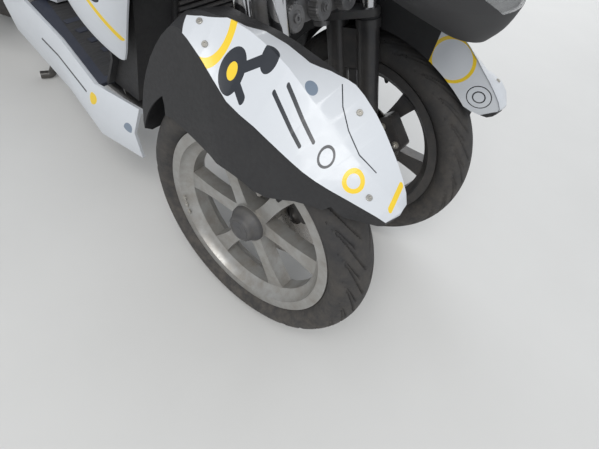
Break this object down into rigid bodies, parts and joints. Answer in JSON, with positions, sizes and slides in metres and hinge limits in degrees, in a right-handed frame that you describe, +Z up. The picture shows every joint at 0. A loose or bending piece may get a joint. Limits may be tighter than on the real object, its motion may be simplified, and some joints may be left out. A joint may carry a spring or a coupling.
{
  "type": "motor scooter",
  "caption": "Leaning motor scooter with paired front wheels, step-through footboard, lifting seat and a luggage box, parked on its centre stand.",
  "frame": {"origin": "on the ground, under the middle of the bounding box", "axes": "+X forward, +Y to the rider's left, +Z up"},
  "size_m": [1.9049, 0.718, 1.2126],
  "materials": {
    "tyre": "matt black rubber",
    "rim": "satin silver-grey paint",
    "disc": "ground steel",
    "dark_metal": "satin black paint",
    "cast": "cast, bead-blasted",
    "chrome": "hard chrome",
    "white": "gloss white paint",
    "black_plastic": "textured matt black",
    "deck": "ribbed navy-black mat",
    "seat": "grained black leatherette",
    "lens": "clear lens",
    "screen": "lightly smoked sheet",
    "red_lens": "red lens",
    "grip": "ribbed rubber"
  },
  "bodies": {
    "chassis": {"frame": "dark_metal", "lean_linkage": "cast", "nose_cowl": "white", "front_panel": "white", "headlamp": "lens", "windscreen": "screen", "leg_shield": "black_plastic", "shield_wings": "white", "floorboard": "deck", "side_skirts": "white", "side_covers": "white", "luggage_box": "black_plastic", "tail_cover": "white", "tail_lamp": "red_lens", "grab_rail": "cast", "rear_mudguard": "black_plastic", "engine_unit": "cast", "rear_shocks": "dark_metal", "silencer": "dark_metal"},
    "seat_unit": {"seat": "seat"},
    "steering_head": {"handlebar": "dark_metal", "handlebar_cover": "black_plastic", "grips": "grip", "mirrors": "black_plastic"},
    "steering_rod": {"tie_rod": "cast"},
    "fork_unit_left": {"fork_left": "dark_metal", "stanchions_left": "chrome", "mudguard_left": "black_plastic", "mudguard_panel_left": "white"},
    "fork_unit_right": {"fork_right": "dark_metal", "stanchions_right": "chrome", "mudguard_right": "black_plastic", "mudguard_panel_right": "white"},
    "wheel_front_left": {"tyre_front_left": "tyre", "rim_front_left": "rim", "disc_front_left": "disc", "hub_cap_left": "cast"},
    "wheel_front_right": {"tyre_front_right": "tyre", "rim_front_right": "rim", "disc_front_right": "disc", "hub_cap_right": "cast"},
    "wheel_rear": {"tyre_rear": "tyre", "rim_rear": "rim"},
    "centre_stand_unit": {"centre_stand": "dark_metal"},
    "side_stand_unit": {"side_stand": "dark_metal"}
  },
  "joints": [
    {"name": "steering", "type": "hinge", "parent": "chassis", "child": "steering_head", "pos_m": [0.49004, 0, 0.77055], "axis": [-0.342, 0, 0.9397], "range_deg": [-30, 30]},
    {"name": "fork_left_turn", "type": "hinge", "parent": "chassis", "child": "fork_unit_left", "pos_m": [0.57897, 0.072, 0.52623], "axis": [-0.342, 0, 0.9397], "range_deg": [-30, 30]},
    {"name": "fork_right_turn", "type": "hinge", "parent": "chassis", "child": "fork_unit_right", "pos_m": [0.57897, -0.072, 0.52623], "axis": [-0.342, 0, 0.9397], "range_deg": [-30, 30]},
    {"name": "steering_rod_turn", "type": "hinge", "parent": "steering_head", "child": "steering_rod", "pos_m": [0.4458, 0, 0.72252], "axis": [-0.342, 0, 0.9397], "range_deg": [-30, 30]},
    {"name": "front_left_roll", "type": "hinge", "parent": "fork_unit_left", "child": "wheel_front_left", "pos_m": [0.7025, 0.1925, 0.25], "axis": [0, 1, 0], "continuous": true},
    {"name": "front_right_roll", "type": "hinge", "parent": "fork_unit_right", "child": "wheel_front_right", "pos_m": [0.7025, -0.1925, 0.25], "axis": [0, 1, 0], "continuous": true},
    {"name": "rear_roll", "type": "hinge", "parent": "chassis", "child": "wheel_rear", "pos_m": [-0.6075, 0, 0.2635], "axis": [0, 1, 0], "continuous": true},
    {"name": "seat_lift", "type": "hinge", "parent": "chassis", "child": "seat_unit", "pos_m": [0.0305, 0, 0.724], "axis": [0, 1, 0], "range_deg": [0, 70]},
    {"name": "centre_stand_fold", "type": "hinge", "parent": "chassis", "child": "centre_stand_unit", "pos_m": [-0.2425, 0, 0.186], "axis": [0, 1, 0], "range_deg": [0, 75]},
    {"name": "side_stand_fold", "type": "hinge", "parent": "chassis", "child": "side_stand_unit", "pos_m": [0.0225, 0.128, 0.184], "axis": [0, -1, 0], "range_deg": [0, 95]}
  ],
  "couplings": [
    {"joint": "fork_left_turn", "follows": "steering", "ratio": 1},
    {"joint": "fork_right_turn", "follows": "steering", "ratio": 1},
    {"joint": "steering_rod_turn", "follows": "steering", "ratio": -1}
  ]
}
